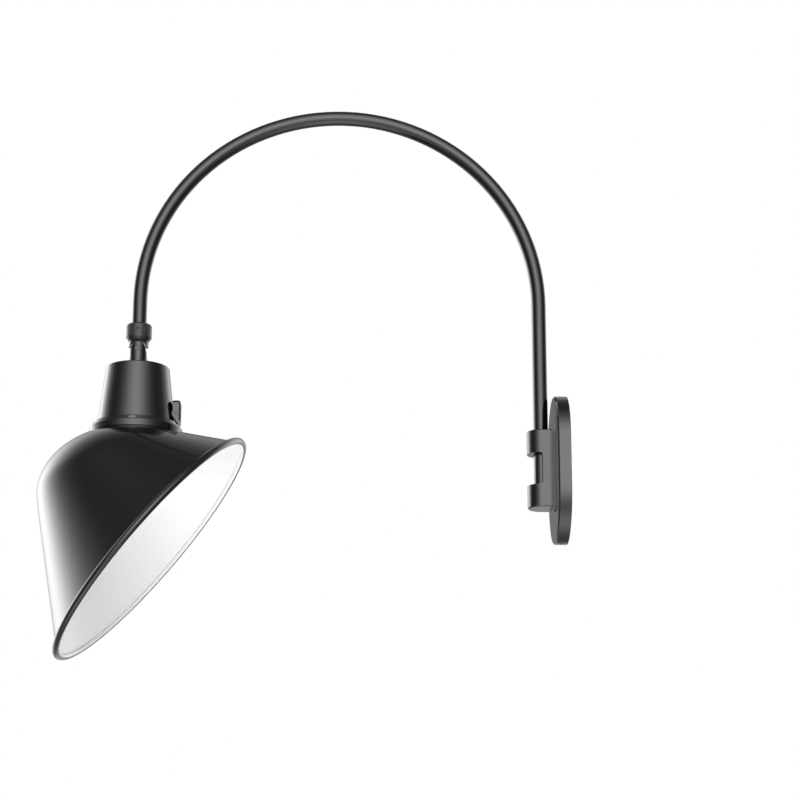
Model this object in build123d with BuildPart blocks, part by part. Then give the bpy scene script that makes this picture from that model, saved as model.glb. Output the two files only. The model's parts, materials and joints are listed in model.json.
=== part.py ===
"""Swing arm wall lamp: an arched pipe arm on a wall bracket, with a tilting reflector shade.

Millimetres, +Z up. The origin is the centre of the back of the wall cover, on the wall (Y = 0).
The lamp stands out from the wall along -Y, and the arm lies in the plane X = 0.
"""
import math
import os

from build123d import *

os.makedirs("parts", exist_ok=True)

# Clearances
seat_gap = 0.05
running_gap = 0.1
turning_gap = 0.3
hole_gap = 0.2

# Arm pipe
pipe_radius = 8.0
pipe_wall = 1.2
arch_radius = 219.0
arch_centre_z = 186.0
pipe_offset = 27.0
pipe_foot_z = -39.1
pipe_end_z = 152.0
notch_height = 8.0
notch_rim = 0.5

# Wall cover
cover_height = 162.0
cover_width = 108.0
cover_depth = 14.0
cover_wall = 2.0
cover_chamfer = 1.5

# Wall strap inside the cover
strap_width = 20.0
strap_thickness = 2.0
strap_end_gap = 2.0
strap_tab_depth = 10.0
strap_slot_pitch = 79.0
strap_slot_length = 10.0
strap_slot_width = 4.8
strap_wire_hole = 6.0

# Screws
grub_radius = 2.0
grub_socket_radius = 1.1
grub_socket_depth = 2.2
cover_grub_length = 6.0
cover_grub_depth_y = 7.0
small_screw_radius = 2.0
small_head_radius = 3.5
small_head_height = 2.4
small_head_edge = 0.8
small_driver_depth = 1.2

# Wall bracket
bracket_half_width = 15.0
bracket_nose_radius = 15.3
bracket_bottom = -43.0
bracket_top = 42.5
bracket_groove = 1.6
bracket_foot_inset = 1.5
bracket_chamfer = 1.0
bracket_floor = 3.0
slot_bottom = -18.0
slot_top = 17.0
slot_wall_y = 26.6
slot_corner = 3.0
bracket_screw_x = 10.0
bracket_screw_z = 35.0
bracket_screw_reach = 6.5
knuckle_grub_upper_z = 31.0
knuckle_grub_lower_z = -29.0
knuckle_grub_sink = 0.7

# Bushes and washer in the bracket
bush_wall = 1.2
bush_top_sink = 0.5
washer_thickness = 0.8
washer_bore = 3.0

# Lead
lead_radius = 2.0
lead_bend_in_cover = 5.0
lead_bend_in_pipe = 7.0
lead_depth_in_cover = 6.0
lead_split_z = 12.0
lead_end_gap = 0.2
grommet_radius = 6.0
grommet_flange = 1.5
grommet_flange_thickness = 1.0
wire_bore_radius = 2.4

# Terminal block and its screws
block_width = 18.0
block_length = 18.0
block_height = 7.0
block_top_z = -10.0
block_bore_radius = 1.6
block_bore_x = 6.0
block_edge = 0.8
block_screw_radius = 1.5
block_head_radius = 2.8
block_head_height = 1.8
earth_screw_z = 22.0

# Swivel at the arm's end
ferrule_length = 14.0
ferrule_flange_radius = 10.1
ferrule_flange_thickness = 3.0
nut_radius = 13.9
nut_top = 159.2
nut_bottom = 140.7
nut_bottom_radius = 11.5
nut_chamfer_height = 3.3
nut_top_round = 1.5
nut_bore_radius = 10.4
nut_flute_count = 48
nut_flute_radius = 0.45
nut_flute_bottom = 144.2
nut_flute_top = 157.6
nut_pin_hole_z = 152.0
nut_pin_hole_radius = 1.0
nut_pin_length = 2.6
neck_radius = 10.1
skirt_radius = 10.7
skirt_tip_z = 134.0
pivot_z = 130.5
tilt_limit = 40.0
tongue_radius = 8.0
tongue_half = 4.2
pivot_washer_thickness = 0.5
ear_top_radius = 7.6
ear_clearance_radius = 10.2
slot_floor_depth = 8.8
pivot_head_radius = 3.0
pivot_head_height = 1.8
pivot_shank_radius = 2.0
pivot_driver_slot = 0.8

# Stem
stem_radius = 9.8
stem_bore_radius = 3.2
stem_tail_radius = 5.0
stem_tail_length = 17.0
lock_nut_flats = 17.0
lock_nut_height = 5.0

# Socket cup
cup_top = 110.0
cup_top_radius = 34.3
cup_knee = 75.0
cup_knee_radius = 38.4
cup_bottom = 46.3
cup_bottom_radius = 41.5
cup_wall = 1.6
cup_roof = 2.5
cup_corner = 1.5

# Lampholder
holder_top = 97.0
holder_neck_height = 6.0
holder_neck_radius = 9.0
holder_bottom = 44.0
holder_radius = 19.5
holder_floor = 12.0
holder_edge = 1.5
shell_radius = 14.2
shell_wall = 0.5
shell_length = 27.0
contact_radius = 4.5
contact_height = 3.0

# Bearing ring and shade collar
ring_thickness = 3.0
ring_z = 49.0
collar_bore = 36.5
collar_neck_radius = 37.6
collar_lip_thickness = 2.0
collar_top = 46.0
collar_top_radius = 46.6
collar_tier_radius = 48.3
collar_tier_z = 41.6
collar_step = 1.0
band_radius = 50.0
band_z = 40.0
band_bottom = 34.6
band_bottom_radius = 49.3
collar_seat_radius = 44.0
spigot_length = 7.0
spigot_wall = 1.8

# Index pad on the collar
pad_width = 8.0
pad_bottom = 41.9
pad_height = 2.6
pad_inner = 46.4
pad_outer = 48.7

# Shade flange and clamp ring
shade_flange_z = 34.2
shade_sheet = 1.5
clamp_ring_width = 4.5
clamp_ring_height = 4.0

# Shade: the top of a spheroid, cut on a slope, and a skirt from there to the round rim
dome_radius = 103.1
dome_half_height = 76.0
dome_centre_z = -32.5
crease_slope = 27.3
crease_offset = 38.9
rim_radius = 147.3
rim_centre_y = 20.1
rim_centre_z = -89.8
rim_tilt = 50.0
rim_sheet = 1.8
bead_offset = 0.8
bead_radius = 3.7

# Thumb latch on the cup
latch_width = 24.0
latch_sheet = 1.7
latch_outer_y = 47.7
latch_top = 72.2
latch_bottom = 46.3
latch_top_inner_y = 39.2
latch_top_cut = 1.8
latch_low_inner_y = 40.6
latch_low_inner_z = 52.6
latch_bottom_y = 45.4
latch_press_gap = 2.6
latch_corner = 4.0
latch_face_edge = 1.2
latch_pivot_y = 43.2
latch_pivot_z = 57.0
latch_pin_radius = 1.5
latch_dimple_radius = 1.5
latch_lug_radius = 2.5
latch_lug_thickness = 2.0
latch_foot_width = 10.0
latch_foot_inner_y = 44.0
latch_foot_outer_y = 46.0
latch_foot_z = 44.6
latch_groove_z = 44.0
latch_groove_inner = 43.2
shade_turn_range = 15.0
spring_wire_radius = 0.4
spring_coil_radius = 2.2
spring_turns = 5
spring_pitch = 1.6

# Places worked out from the sizes
arm_end_y = -pipe_offset - 2 * arch_radius
arch_top_z = arch_centre_z + arch_radius
cover_face_y = -cover_depth
cover_inner_y = -(cover_depth - cover_wall)
bracket_back_y = cover_face_y - bracket_groove
bush_radius = pipe_radius + running_gap + bush_wall
bracket_bore_radius = bush_radius + seat_gap
bracket_floor_z = bracket_bottom + bracket_floor
strap_tab_z = cover_height / 2 - cover_wall - strap_end_gap - strap_thickness


def obround(height, width):
    """Add a straight-sided upright outline with round ends to the sketch."""
    SlotOverall(height, width, rotation=90)


def head_plane(z):
    """A level plane at height z, centred on the head's own axis."""
    return Plane(origin=(0, arm_end_y, z))


def side_plane(x):
    """An upright plane across X at the head, with local x along +Y and local y along +Z."""
    return Plane(origin=(x, arm_end_y, 0), x_dir=(0, 1, 0), z_dir=(1, 0, 0))


def front_plane(y, x=0, z=0):
    """An upright plane facing out from the wall, with local x along +X and local y along +Z."""
    return Plane(origin=(x, y, z), x_dir=(1, 0, 0), z_dir=(0, -1, 0))


# Wall cover: a hollow obround shell, open at the wall
with BuildPart() as wall_cover:
    with BuildSketch(front_plane(0)):
        obround(cover_height, cover_width)
    extrude(amount=cover_depth)
    chamfer(wall_cover.faces().sort_by(Axis.Y)[0].edges(), cover_chamfer)
    with BuildSketch(front_plane(0)):
        obround(cover_height - 2 * cover_wall, cover_width - 2 * cover_wall)
    extrude(amount=cover_depth - cover_wall, mode=Mode.SUBTRACT)
    with BuildSketch(front_plane(cover_inner_y)):
        Circle(grommet_radius)
        with GridLocations(2 * bracket_screw_x, 2 * bracket_screw_z, 2, 2):
            Circle(small_screw_radius + hole_gap)
    extrude(amount=cover_wall, mode=Mode.SUBTRACT)
    with BuildSketch(Plane(origin=(0, -cover_grub_depth_y, 0))):
        Circle(grub_radius + seat_gap)
    extrude(amount=cover_height, both=True, mode=Mode.SUBTRACT)
wall_cover.part.label = "wall_cover"
export_step(wall_cover.part, "parts/wall_cover.step")

# Wall strap: a flat bar on the wall with two bent tabs that hold the cover
with BuildPart() as wall_strap:
    with BuildSketch(front_plane(0)):
        Rectangle(strap_width, 2 * (strap_tab_z + strap_thickness))
        Circle(strap_wire_hole, mode=Mode.SUBTRACT)
        with Locations((0, strap_slot_pitch / 2), (0, -strap_slot_pitch / 2)):
            SlotOverall(strap_slot_length, strap_slot_width, rotation=90, mode=Mode.SUBTRACT)
        with Locations((0, earth_screw_z)):
            Circle(small_screw_radius + seat_gap, mode=Mode.SUBTRACT)
        with Locations((0, block_top_z - block_length / 2)):
            Circle(block_screw_radius + seat_gap, mode=Mode.SUBTRACT)
    extrude(amount=strap_thickness)
    with BuildSketch(front_plane(-strap_thickness)):
        with Locations((0, strap_tab_z + strap_thickness / 2), (0, -strap_tab_z - strap_thickness / 2)):
            Rectangle(strap_width, strap_thickness)
    extrude(amount=strap_tab_depth - strap_thickness)
    with BuildSketch(Plane(origin=(0, -cover_grub_depth_y, 0))):
        Circle(grub_radius + seat_gap)
    extrude(amount=cover_height, both=True, mode=Mode.SUBTRACT)
wall_strap.part.label = "wall_strap"
export_step(wall_strap.part, "parts/wall_strap.step")

# Cover screws: two grub screws that hold the cover to the strap's tabs
with BuildPart() as cover_screws:
    for side in (1, -1):
        outer_end = Plane(origin=(0, -cover_grub_depth_y, side * (cover_height / 2 - hole_gap)),
                          z_dir=(0, 0, -side))
        with BuildSketch(outer_end):
            Circle(grub_radius)
        extrude(amount=cover_grub_length)
        with BuildSketch(outer_end):
            RegularPolygon(grub_socket_radius, 6)
        extrude(amount=grub_socket_depth, mode=Mode.SUBTRACT)
cover_screws.part.label = "cover_screws"
export_step(cover_screws.part, "parts/cover_screws.step")

# Terminal block: a moulded block on the strap with two wire bores
block_centre_z = block_top_z - block_length / 2
with BuildPart() as terminal_block:
    with BuildSketch(front_plane(-strap_thickness, z=block_centre_z)):
        RectangleRounded(block_width, block_length, block_edge)
    extrude(amount=block_height)
    with BuildSketch(front_plane(-strap_thickness, z=block_centre_z)):
        Circle(block_screw_radius + hole_gap)
    extrude(amount=block_height, mode=Mode.SUBTRACT)
    with BuildSketch(front_plane(-strap_thickness - block_height + block_head_height, z=block_centre_z)):
        Circle(block_head_radius + hole_gap)
    extrude(amount=block_head_height, mode=Mode.SUBTRACT)
    with BuildSketch(Plane(origin=(0, -strap_thickness - block_height / 2, block_top_z - block_length))):
        with Locations((-block_bore_x, 0), (block_bore_x, 0)):
            Circle(block_bore_radius)
    extrude(amount=block_length, mode=Mode.SUBTRACT)
terminal_block.part.label = "terminal_block"
export_step(terminal_block.part, "parts/terminal_block.step")

# Terminal block screw, down into the strap
with BuildPart() as block_screw:
    with BuildSketch(front_plane(-strap_thickness - block_height + block_head_height, z=block_centre_z)):
        Circle(block_head_radius)
    extrude(amount=block_head_height - hole_gap)
    with BuildSketch(front_plane(-hole_gap, z=block_centre_z)):
        Circle(block_screw_radius)
    extrude(amount=strap_thickness + block_height - block_head_height - hole_gap)
    with BuildSketch(front_plane(-strap_thickness - block_height + hole_gap, z=block_centre_z)):
        Rectangle(2 * block_head_radius, block_edge)
    extrude(amount=-block_edge, mode=Mode.SUBTRACT)
block_screw.part.label = "block_screw"
export_step(block_screw.part, "parts/block_screw.step")

# Earth screw on the strap
with BuildPart() as earth_screw:
    with BuildSketch(front_plane(-strap_thickness, z=earth_screw_z)):
        Circle(small_head_radius)
    extrude(amount=small_head_height)
    fillet(earth_screw.faces().sort_by(Axis.Y)[0].edges(), small_head_edge)
    with BuildSketch(front_plane(-hole_gap, z=earth_screw_z)):
        Circle(small_screw_radius)
    extrude(amount=strap_thickness - hole_gap)
    with BuildSketch(front_plane(-strap_thickness - small_head_height, z=earth_screw_z)):
        Rectangle(small_head_radius, block_edge)
        Rectangle(block_edge, small_head_radius)
    extrude(amount=-small_driver_depth, mode=Mode.SUBTRACT)
earth_screw.part.label = "earth_screw"
export_step(earth_screw.part, "parts/earth_screw.step")

# Wall bracket: a round-nosed block with two knuckles and a slot that shows the pipe
bracket_height = bracket_top - bracket_bottom
with BuildPart() as wall_bracket:
    with BuildSketch(Plane.XY.offset(bracket_bottom)):
        with BuildLine():
            Polyline(
                (-bracket_half_width, -pipe_offset),
                (-bracket_half_width, bracket_back_y),
                (bracket_half_width, bracket_back_y),
                (bracket_half_width, -pipe_offset),
            )
            ThreePointArc(
                (bracket_half_width, -pipe_offset),
                (0, -pipe_offset - bracket_nose_radius),
                (-bracket_half_width, -pipe_offset),
            )
        make_face()
    extrude(amount=bracket_height)
    chamfer(wall_bracket.faces().sort_by(Axis.Z)[-1].edges(), bracket_chamfer)
    chamfer(wall_bracket.faces().sort_by(Axis.Z)[0].edges(), bracket_chamfer)
    with BuildSketch(front_plane(cover_face_y, z=(bracket_top + bracket_bottom) / 2)):
        Rectangle(2 * (bracket_half_width - bracket_foot_inset), bracket_height - 2 * bracket_foot_inset)
    extrude(amount=bracket_groove)
    slot_middle_z = (slot_top + slot_bottom) / 2
    slot_depth = pipe_offset + bracket_nose_radius - slot_wall_y
    with BuildSketch(Plane(origin=(0, -slot_wall_y - slot_depth, slot_middle_z),
                           x_dir=(0, 1, 0), z_dir=(1, 0, 0))):
        with BuildLine():
            half_slot = (slot_top - slot_bottom) / 2
            FilletPolyline(
                (-slot_corner, half_slot),
                (slot_depth, half_slot),
                (slot_depth, -half_slot),
                (-slot_corner, -half_slot),
                radius=slot_corner,
            )
            Line((-slot_corner, -half_slot), (-slot_corner, half_slot))
        make_face()
    extrude(amount=bracket_half_width + slot_corner, both=True, mode=Mode.SUBTRACT)
    with BuildSketch(Plane(origin=(0, -pipe_offset, bracket_floor_z))):
        Circle(bracket_bore_radius)
    extrude(amount=bracket_height, mode=Mode.SUBTRACT)
    with BuildSketch(front_plane(cover_face_y)):
        Circle(grommet_radius)
    extrude(amount=pipe_offset - cover_depth, mode=Mode.SUBTRACT)
    with BuildSketch(front_plane(cover_face_y)):
        with GridLocations(2 * bracket_screw_x, 2 * bracket_screw_z, 2, 2):
            Circle(small_screw_radius + seat_gap)
    extrude(amount=bracket_screw_reach + hole_gap, mode=Mode.SUBTRACT)
    with BuildSketch(front_plane(-pipe_offset)):
        with Locations((0, knuckle_grub_upper_z), (0, knuckle_grub_lower_z)):
            Circle(grub_radius + seat_gap)
    extrude(amount=bracket_nose_radius + seat_gap, mode=Mode.SUBTRACT)
wall_bracket.part.label = "wall_bracket"
export_step(wall_bracket.part, "parts/wall_bracket.step")

# Bracket screws: four screws from inside the cover
with BuildPart() as bracket_screws:
    with BuildSketch(front_plane(cover_inner_y)):
        with GridLocations(2 * bracket_screw_x, 2 * bracket_screw_z, 2, 2):
            Circle(small_head_radius)
    extrude(amount=-small_head_height)
    with BuildSketch(front_plane(cover_inner_y)):
        with GridLocations(2 * bracket_screw_x, 2 * bracket_screw_z, 2, 2):
            Circle(small_screw_radius)
    extrude(amount=cover_wall + bracket_screw_reach)
    with BuildSketch(front_plane(cover_inner_y + small_head_height)):
        with GridLocations(2 * bracket_screw_x, 2 * bracket_screw_z, 2, 2):
            Rectangle(small_head_radius, block_edge)
            Rectangle(block_edge, small_head_radius)
    extrude(amount=small_driver_depth, mode=Mode.SUBTRACT)
bracket_screws.part.label = "bracket_screws"
export_step(bracket_screws.part, "parts/bracket_screws.step")

# Knuckle grub screws: they press on the bushes and set the arm's friction
knuckle_grub_outer_y = -(pipe_offset + bracket_nose_radius - knuckle_grub_sink)
with BuildPart() as knuckle_screws:
    with BuildSketch(front_plane(knuckle_grub_outer_y)):
        with Locations((0, knuckle_grub_upper_z), (0, knuckle_grub_lower_z)):
            Circle(grub_radius)
    extrude(amount=-(bracket_nose_radius - knuckle_grub_sink - bush_radius - seat_gap))
    with BuildSketch(front_plane(knuckle_grub_outer_y)):
        with Locations((0, knuckle_grub_upper_z), (0, knuckle_grub_lower_z)):
            RegularPolygon(grub_socket_radius, 6)
    extrude(amount=-grub_socket_depth, mode=Mode.SUBTRACT)
knuckle_screws.part.label = "knuckle_screws"
export_step(knuckle_screws.part, "parts/knuckle_screws.step")


def bush_between(low_z, high_z):
    """A plain sleeve round the pipe from low_z to high_z."""
    with BuildPart() as sleeve:
        with BuildSketch(Plane(origin=(0, -pipe_offset, low_z))):
            Circle(bush_radius)
            Circle(pipe_radius + running_gap, mode=Mode.SUBTRACT)
        extrude(amount=high_z - low_z)
    return sleeve.part


# Upper and lower bushes in the knuckles
upper_bush = bush_between(slot_top, bracket_top - bush_top_sink)
upper_bush.label = "upper_bush"
export_step(upper_bush, "parts/upper_bush.step")
lower_bush = bush_between(bracket_floor_z + washer_thickness, slot_bottom)
lower_bush.label = "lower_bush"
export_step(lower_bush, "parts/lower_bush.step")

# Thrust washer under the pipe's foot
with BuildPart() as thrust_washer:
    with BuildSketch(Plane(origin=(0, -pipe_offset, bracket_floor_z))):
        Circle(bush_radius)
        Circle(washer_bore, mode=Mode.SUBTRACT)
    extrude(amount=washer_thickness)
thrust_washer.part.label = "thrust_washer"
export_step(thrust_washer.part, "parts/thrust_washer.step")

# Grommet where the lead passes the cover
with BuildPart() as wire_grommet:
    with BuildSketch(front_plane(cover_inner_y + grommet_flange_thickness)):
        Circle(grommet_radius + grommet_flange)
    extrude(amount=grommet_flange_thickness)
    with BuildSketch(front_plane(cover_inner_y)):
        Circle(grommet_radius - seat_gap)
    extrude(amount=cover_wall)
    with BuildSketch(front_plane(cover_inner_y + grommet_flange_thickness)):
        Circle(lead_radius + seat_gap)
    extrude(amount=cover_wall + grommet_flange_thickness, mode=Mode.SUBTRACT)
wire_grommet.part.label = "wire_grommet"
export_step(wire_grommet.part, "parts/wire_grommet.step")

# Supply lead: from the terminal block through the grommet and into the pipe
with BuildPart() as supply_lead:
    with BuildLine() as supply_route:
        FilletPolyline(
            (0, -lead_depth_in_cover, block_top_z + seat_gap),
            (0, -lead_depth_in_cover, 0),
            (0, -pipe_offset + lead_bend_in_pipe + seat_gap, 0),
            radius=lead_bend_in_cover,
        )
        FilletPolyline(
            (0, -pipe_offset + lead_bend_in_pipe + seat_gap, 0),
            (0, -pipe_offset, 0),
            (0, -pipe_offset, lead_split_z),
            radius=lead_bend_in_pipe,
        )
    with BuildSketch(Plane(origin=(0, -lead_depth_in_cover, block_top_z + seat_gap))):
        Circle(lead_radius)
    sweep(path=supply_route.wires()[0])
supply_lead.part.label = "supply_lead"
export_step(supply_lead.part, "parts/supply_lead.step")

# Arm pipe: a bent tube with a notch behind, where the lead comes in
with BuildPart() as arm_pipe:
    with BuildLine() as pipe_route:
        Line((0, -pipe_offset, pipe_foot_z), (0, -pipe_offset, arch_centre_z))
        ThreePointArc(
            (0, -pipe_offset, arch_centre_z),
            (0, -pipe_offset - arch_radius, arch_top_z),
            (0, arm_end_y, arch_centre_z),
        )
        Line((0, arm_end_y, arch_centre_z), (0, arm_end_y, pipe_end_z))
    with BuildSketch(Plane(origin=(0, -pipe_offset, pipe_foot_z))):
        Circle(pipe_radius)
        Circle(pipe_radius - pipe_wall, mode=Mode.SUBTRACT)
    sweep(path=pipe_route.wires()[0])
    with BuildSketch(Plane(origin=(0, -pipe_offset + notch_rim + pipe_radius / 2, -notch_height / 2))):
        Rectangle(3 * pipe_radius, pipe_radius)
    extrude(amount=notch_height, mode=Mode.SUBTRACT)
arm_pipe.part.label = "arm_pipe"
export_step(arm_pipe.part, "parts/arm_pipe.step")

# Arm lead: the lead's stretch inside the pipe
arm_lead_end_z = pipe_end_z - ferrule_flange_thickness + lead_end_gap
with BuildPart() as arm_lead:
    with BuildLine() as lead_route:
        Line((0, -pipe_offset, lead_split_z + lead_end_gap), (0, -pipe_offset, arch_centre_z))
        ThreePointArc(
            (0, -pipe_offset, arch_centre_z),
            (0, -pipe_offset - arch_radius, arch_top_z),
            (0, arm_end_y, arch_centre_z),
        )
        Line((0, arm_end_y, arch_centre_z), (0, arm_end_y, arm_lead_end_z))
    with BuildSketch(Plane(origin=(0, -pipe_offset, lead_split_z + lead_end_gap))):
        Circle(lead_radius)
    sweep(path=lead_route.wires()[0])
arm_lead.part.label = "arm_lead"
export_step(arm_lead.part, "parts/arm_lead.step")

# Arm ferrule: a flanged collar in the pipe's end that the union nut holds
ferrule_bottom = pipe_end_z - ferrule_flange_thickness
with BuildPart() as arm_ferrule:
    with BuildSketch(head_plane(ferrule_bottom)):
        Circle(ferrule_flange_radius)
    extrude(amount=ferrule_flange_thickness)
    with BuildSketch(head_plane(pipe_end_z)):
        Circle(pipe_radius - pipe_wall - seat_gap)
    extrude(amount=ferrule_length)
    with BuildSketch(head_plane(ferrule_bottom)):
        Circle(wire_bore_radius)
    extrude(amount=ferrule_flange_thickness + ferrule_length, mode=Mode.SUBTRACT)
arm_ferrule.part.label = "arm_ferrule"
export_step(arm_ferrule.part, "parts/arm_ferrule.step")

# Knurled union nut round the ferrule and the swivel's neck
nut_height = nut_top - nut_bottom
with BuildPart() as knurled_nut:
    with BuildSketch(side_plane(0)):
        with BuildLine():
            Polyline(
                (0, nut_bottom),
                (nut_bottom_radius, nut_bottom),
                (nut_radius - nut_flute_radius, nut_bottom + nut_chamfer_height - nut_flute_radius),
                (nut_radius - nut_flute_radius, nut_flute_bottom),
                (nut_radius, nut_flute_bottom),
                (nut_radius, nut_flute_top),
                (nut_radius - nut_top_round, nut_top),
                (0, nut_top),
                close=True,
            )
        make_face()
    revolve(axis=Axis((0, arm_end_y, 0), (0, 0, 1)))
    with BuildSketch(head_plane(nut_flute_bottom)):
        with PolarLocations(nut_radius, nut_flute_count):
            Circle(nut_flute_radius)
    extrude(amount=nut_flute_top - nut_flute_bottom + nut_top_round, mode=Mode.SUBTRACT)
    with BuildSketch(head_plane(nut_bottom)):
        Circle(nut_bore_radius)
    extrude(amount=pipe_end_z + turning_gap - nut_bottom, mode=Mode.SUBTRACT)
    with BuildSketch(head_plane(nut_bottom)):
        Circle(pipe_radius + turning_gap)
    extrude(amount=nut_height, mode=Mode.SUBTRACT)
    with BuildSketch(Plane(origin=(0, arm_end_y, nut_pin_hole_z), x_dir=(0, 1, 0), z_dir=(1, 0, 0))):
        Circle(nut_pin_hole_radius)
    extrude(amount=nut_radius + turning_gap, mode=Mode.SUBTRACT)
knurled_nut.part.label = "knurled_nut"
export_step(knurled_nut.part, "parts/knurled_nut.step")

# Nut pin: a small grub pin in the nut's cross hole
with BuildPart() as nut_pin:
    with BuildSketch(Plane(origin=(nut_bore_radius + hole_gap, arm_end_y, nut_pin_hole_z),
                           x_dir=(0, 1, 0), z_dir=(1, 0, 0))):
        Circle(nut_pin_hole_radius - seat_gap)
    extrude(amount=nut_pin_length)
nut_pin.part.label = "nut_pin"
export_step(nut_pin.part, "parts/nut_pin.step")

# Swivel yoke: a threaded neck in the nut, a skirt and a tongue that goes between the ears
yoke_top = ferrule_bottom - turning_gap
lead_swing = math.radians(tilt_limit)
fan_top_y = wire_bore_radius * math.cos(lead_swing)
fan_top_z = wire_bore_radius * math.sin(lead_swing)
fan_foot_y = fan_top_y + 2 * tongue_radius * math.sin(lead_swing)
fan_foot_z = fan_top_z - 2 * tongue_radius * math.cos(lead_swing)
with BuildPart() as swivel_yoke:
    with BuildSketch(head_plane(pivot_z)):
        Circle(skirt_radius)
    extrude(amount=nut_bottom - running_gap - pivot_z)
    with BuildSketch(head_plane(pivot_z)):
        Circle(neck_radius)
    extrude(amount=yoke_top - pivot_z)
    with BuildSketch(side_plane(-skirt_radius)):
        with Locations((0, pivot_z)):
            Circle(ear_clearance_radius)
    extrude(amount=skirt_radius - tongue_half, mode=Mode.SUBTRACT)
    with BuildSketch(side_plane(tongue_half)):
        with Locations((0, pivot_z)):
            Circle(ear_clearance_radius)
    extrude(amount=skirt_radius - tongue_half, mode=Mode.SUBTRACT)
    with BuildSketch(side_plane(-tongue_half)):
        with Locations((0, pivot_z)):
            Rectangle(3 * skirt_radius, 2 * (skirt_tip_z - pivot_z))
    extrude(amount=2 * tongue_half, mode=Mode.SUBTRACT)
    with BuildSketch(side_plane(-tongue_half)):
        with Locations((0, pivot_z)):
            Circle(tongue_radius)
    extrude(amount=2 * tongue_half)
    with BuildSketch(head_plane(pivot_z)):
        Circle(wire_bore_radius)
    extrude(amount=yoke_top - pivot_z, mode=Mode.SUBTRACT)
    with BuildSketch(side_plane(-wire_bore_radius)):
        with Locations((0, pivot_z)):
            Circle(wire_bore_radius)
            Polygon(
                (fan_top_y, fan_top_z),
                (-fan_top_y, fan_top_z),
                (-fan_foot_y, fan_foot_z),
                (fan_foot_y, fan_foot_z),
                align=None,
            )
    extrude(amount=2 * wire_bore_radius, mode=Mode.SUBTRACT)
    with BuildSketch(side_plane(-tongue_half)):
        with Locations((0, pivot_z)):
            Circle(pivot_shank_radius + seat_gap)
    extrude(amount=2 * tongue_half, mode=Mode.SUBTRACT)
swivel_yoke.part.label = "swivel_yoke"
export_step(swivel_yoke.part, "parts/swivel_yoke.step")

# Yoke lead: the lead's stretch down to the pivot
with BuildPart() as yoke_lead:
    with BuildSketch(head_plane(pivot_z + lead_radius + lead_end_gap)):
        Circle(lead_radius)
    extrude(amount=arm_lead_end_z - lead_end_gap - pivot_z - lead_radius - lead_end_gap)
yoke_lead.part.label = "yoke_lead"
export_step(yoke_lead.part, "parts/yoke_lead.step")

# Pivot washers between the tongue and the ears
with BuildPart() as pivot_washers:
    for side in (1, -1):
        with BuildSketch(Plane(origin=(side * tongue_half, arm_end_y, pivot_z), z_dir=(side, 0, 0))):
            Circle(ear_top_radius - hole_gap)
            Circle(pivot_shank_radius + hole_gap, mode=Mode.SUBTRACT)
        extrude(amount=pivot_washer_thickness)
pivot_washers.part.label = "pivot_washers"
export_step(pivot_washers.part, "parts/pivot_washers.step")

# Stem: a round post with two ears at the top and a threaded tail in the cup
ear_inner = tongue_half + pivot_washer_thickness + running_gap
slot_floor_z = pivot_z - slot_floor_depth
ear_face = stem_radius - pivot_head_height - hole_gap
with BuildPart() as stem:
    with BuildSketch(head_plane(cup_top)):
        Circle(stem_radius)
    extrude(amount=pivot_z + stem_radius - cup_top)
    with BuildSketch(side_plane(-stem_radius)):
        with BuildLine():
            Polyline(
                (-stem_radius, pivot_z),
                (-stem_radius, cup_top),
                (stem_radius, cup_top),
                (stem_radius, pivot_z),
                (ear_top_radius, pivot_z),
            )
            ThreePointArc(
                (ear_top_radius, pivot_z),
                (0, pivot_z + ear_top_radius),
                (-ear_top_radius, pivot_z),
            )
            Line((-ear_top_radius, pivot_z), (-stem_radius, pivot_z))
        make_face()
    extrude(amount=2 * stem_radius, mode=Mode.INTERSECT)
    with BuildSketch(side_plane(-ear_inner)):
        with Locations((0, slot_floor_z + stem_radius)):
            Rectangle(2 * stem_radius, 2 * stem_radius)
    extrude(amount=2 * ear_inner, mode=Mode.SUBTRACT)
    with BuildSketch(head_plane(cup_top - stem_tail_length)):
        Circle(stem_tail_radius)
    extrude(amount=stem_tail_length)
    with BuildSketch(head_plane(cup_top - stem_tail_length)):
        Circle(stem_bore_radius)
    extrude(amount=stem_tail_length + slot_floor_z - cup_top, mode=Mode.SUBTRACT)
    with BuildSketch(side_plane(-stem_radius)):
        with Locations((0, pivot_z)):
            Circle(pivot_shank_radius + seat_gap)
    extrude(amount=2 * stem_radius, mode=Mode.SUBTRACT)
    for side in (1, -1):
        with BuildSketch(Plane(origin=(side * ear_face, arm_end_y, pivot_z), z_dir=(side, 0, 0))):
            Circle(pivot_head_radius + hole_gap)
        extrude(amount=stem_radius, mode=Mode.SUBTRACT)
stem.part.label = "stem"
export_step(stem.part, "parts/stem.step")

# Pivot screws: one through each ear into the tongue, clear of the lead
with BuildPart() as pivot_screws:
    for side in (1, -1):
        with BuildSketch(Plane(origin=(side * ear_face, arm_end_y, pivot_z), z_dir=(side, 0, 0))):
            Circle(pivot_head_radius)
        extrude(amount=pivot_head_height)
        with BuildSketch(Plane(origin=(side * ear_face, arm_end_y, pivot_z), z_dir=(-side, 0, 0))):
            Circle(pivot_shank_radius)
        extrude(amount=ear_face - wire_bore_radius - hole_gap)
        with BuildSketch(Plane(origin=(side * (ear_face + pivot_head_height), arm_end_y, pivot_z),
                               z_dir=(-side, 0, 0))):
            Rectangle(2 * pivot_head_radius, pivot_driver_slot)
        extrude(amount=pivot_driver_slot, mode=Mode.SUBTRACT)
pivot_screws.part.label = "pivot_screws"
export_step(pivot_screws.part, "parts/pivot_screws.step")

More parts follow.
